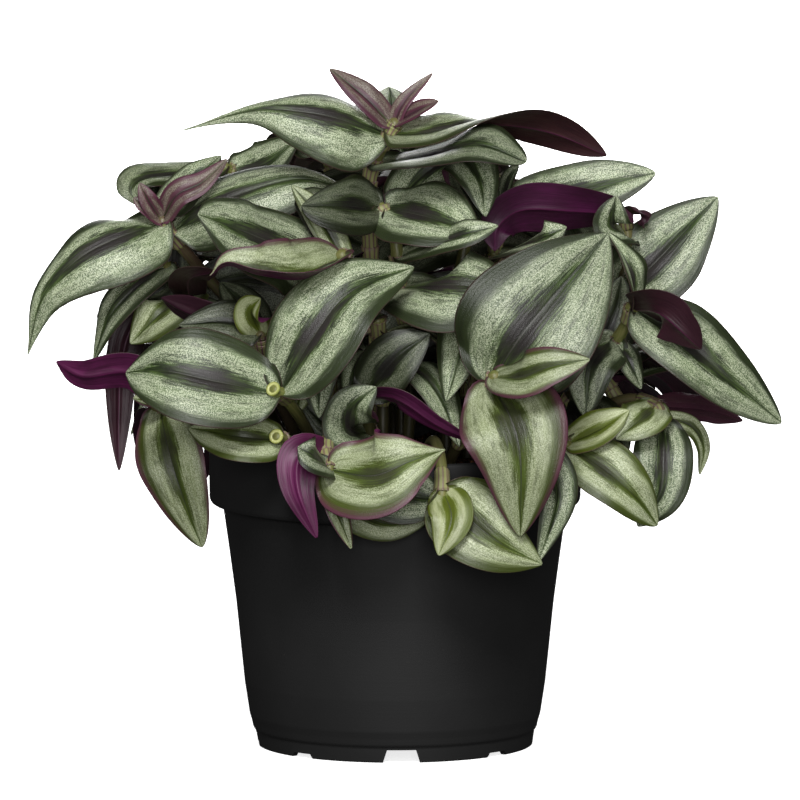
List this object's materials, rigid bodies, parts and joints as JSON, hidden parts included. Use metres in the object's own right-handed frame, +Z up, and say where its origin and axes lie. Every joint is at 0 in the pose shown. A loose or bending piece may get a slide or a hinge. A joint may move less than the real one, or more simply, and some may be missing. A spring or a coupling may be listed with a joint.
{
  "type": "potted tradescantia",
  "caption": "Trailing house plant with pointed silver-striped leaves on jointed stems, in a tapered nursery pot with a rim band.",
  "frame": {"origin": "on the ground under the middle of the whole outline, leaves included; the pot's axis stands at x -2.9 mm, y -7.4 mm", "axes": "+Z up, +X to the right and +Y away from the viewer of the picture"},
  "size_m": [0.2426, 0.1922, 0.2203],
  "materials": {
    "pot": "satin",
    "soil": "matte",
    "leaf": "satin"
  },
  "bodies": {
    "root": {"pot": "pot", "soil": "soil", "stem_crown": "leaf", "stem_leftTop": "leaf", "stem_leftBack": "leaf", "stem_leftMiddle": "leaf", "stem_cutUpper": "leaf", "stem_cutLower": "leaf", "stem_leftLow": "leaf", "stem_leftFar": "leaf", "stem_leftInner": "leaf", "stem_centre": "leaf", "stem_rightTop": "leaf", "stem_rightBack": "leaf", "stem_right": "leaf", "stem_rightMiddle": "leaf", "stem_overRim": "leaf", "stem_lowRight": "leaf", "stem_farRight": "leaf", "stem_lowFront": "leaf", "stem_frontInner": "leaf", "stem_farLow1": "leaf", "stem_farLow2": "leaf", "stem_farLow3": "leaf", "stem_farLow4": "leaf", "stem_farLow5": "leaf", "stem_farLow6": "leaf", "stem_farLow7": "leaf", "stem_farMiddle1": "leaf", "stem_farMiddle2": "leaf", "stem_farMiddle3": "leaf", "stem_farMiddle4": "leaf", "stem_farMiddle5": "leaf", "stem_farMiddle6": "leaf", "stem_farTop1": "leaf", "stem_farTop2": "leaf", "stem_farTop3": "leaf", "stem_inner1": "leaf", "stem_inner2": "leaf", "stem_inner3": "leaf", "stem_inner4": "leaf"}
  },
  "joints": []
}
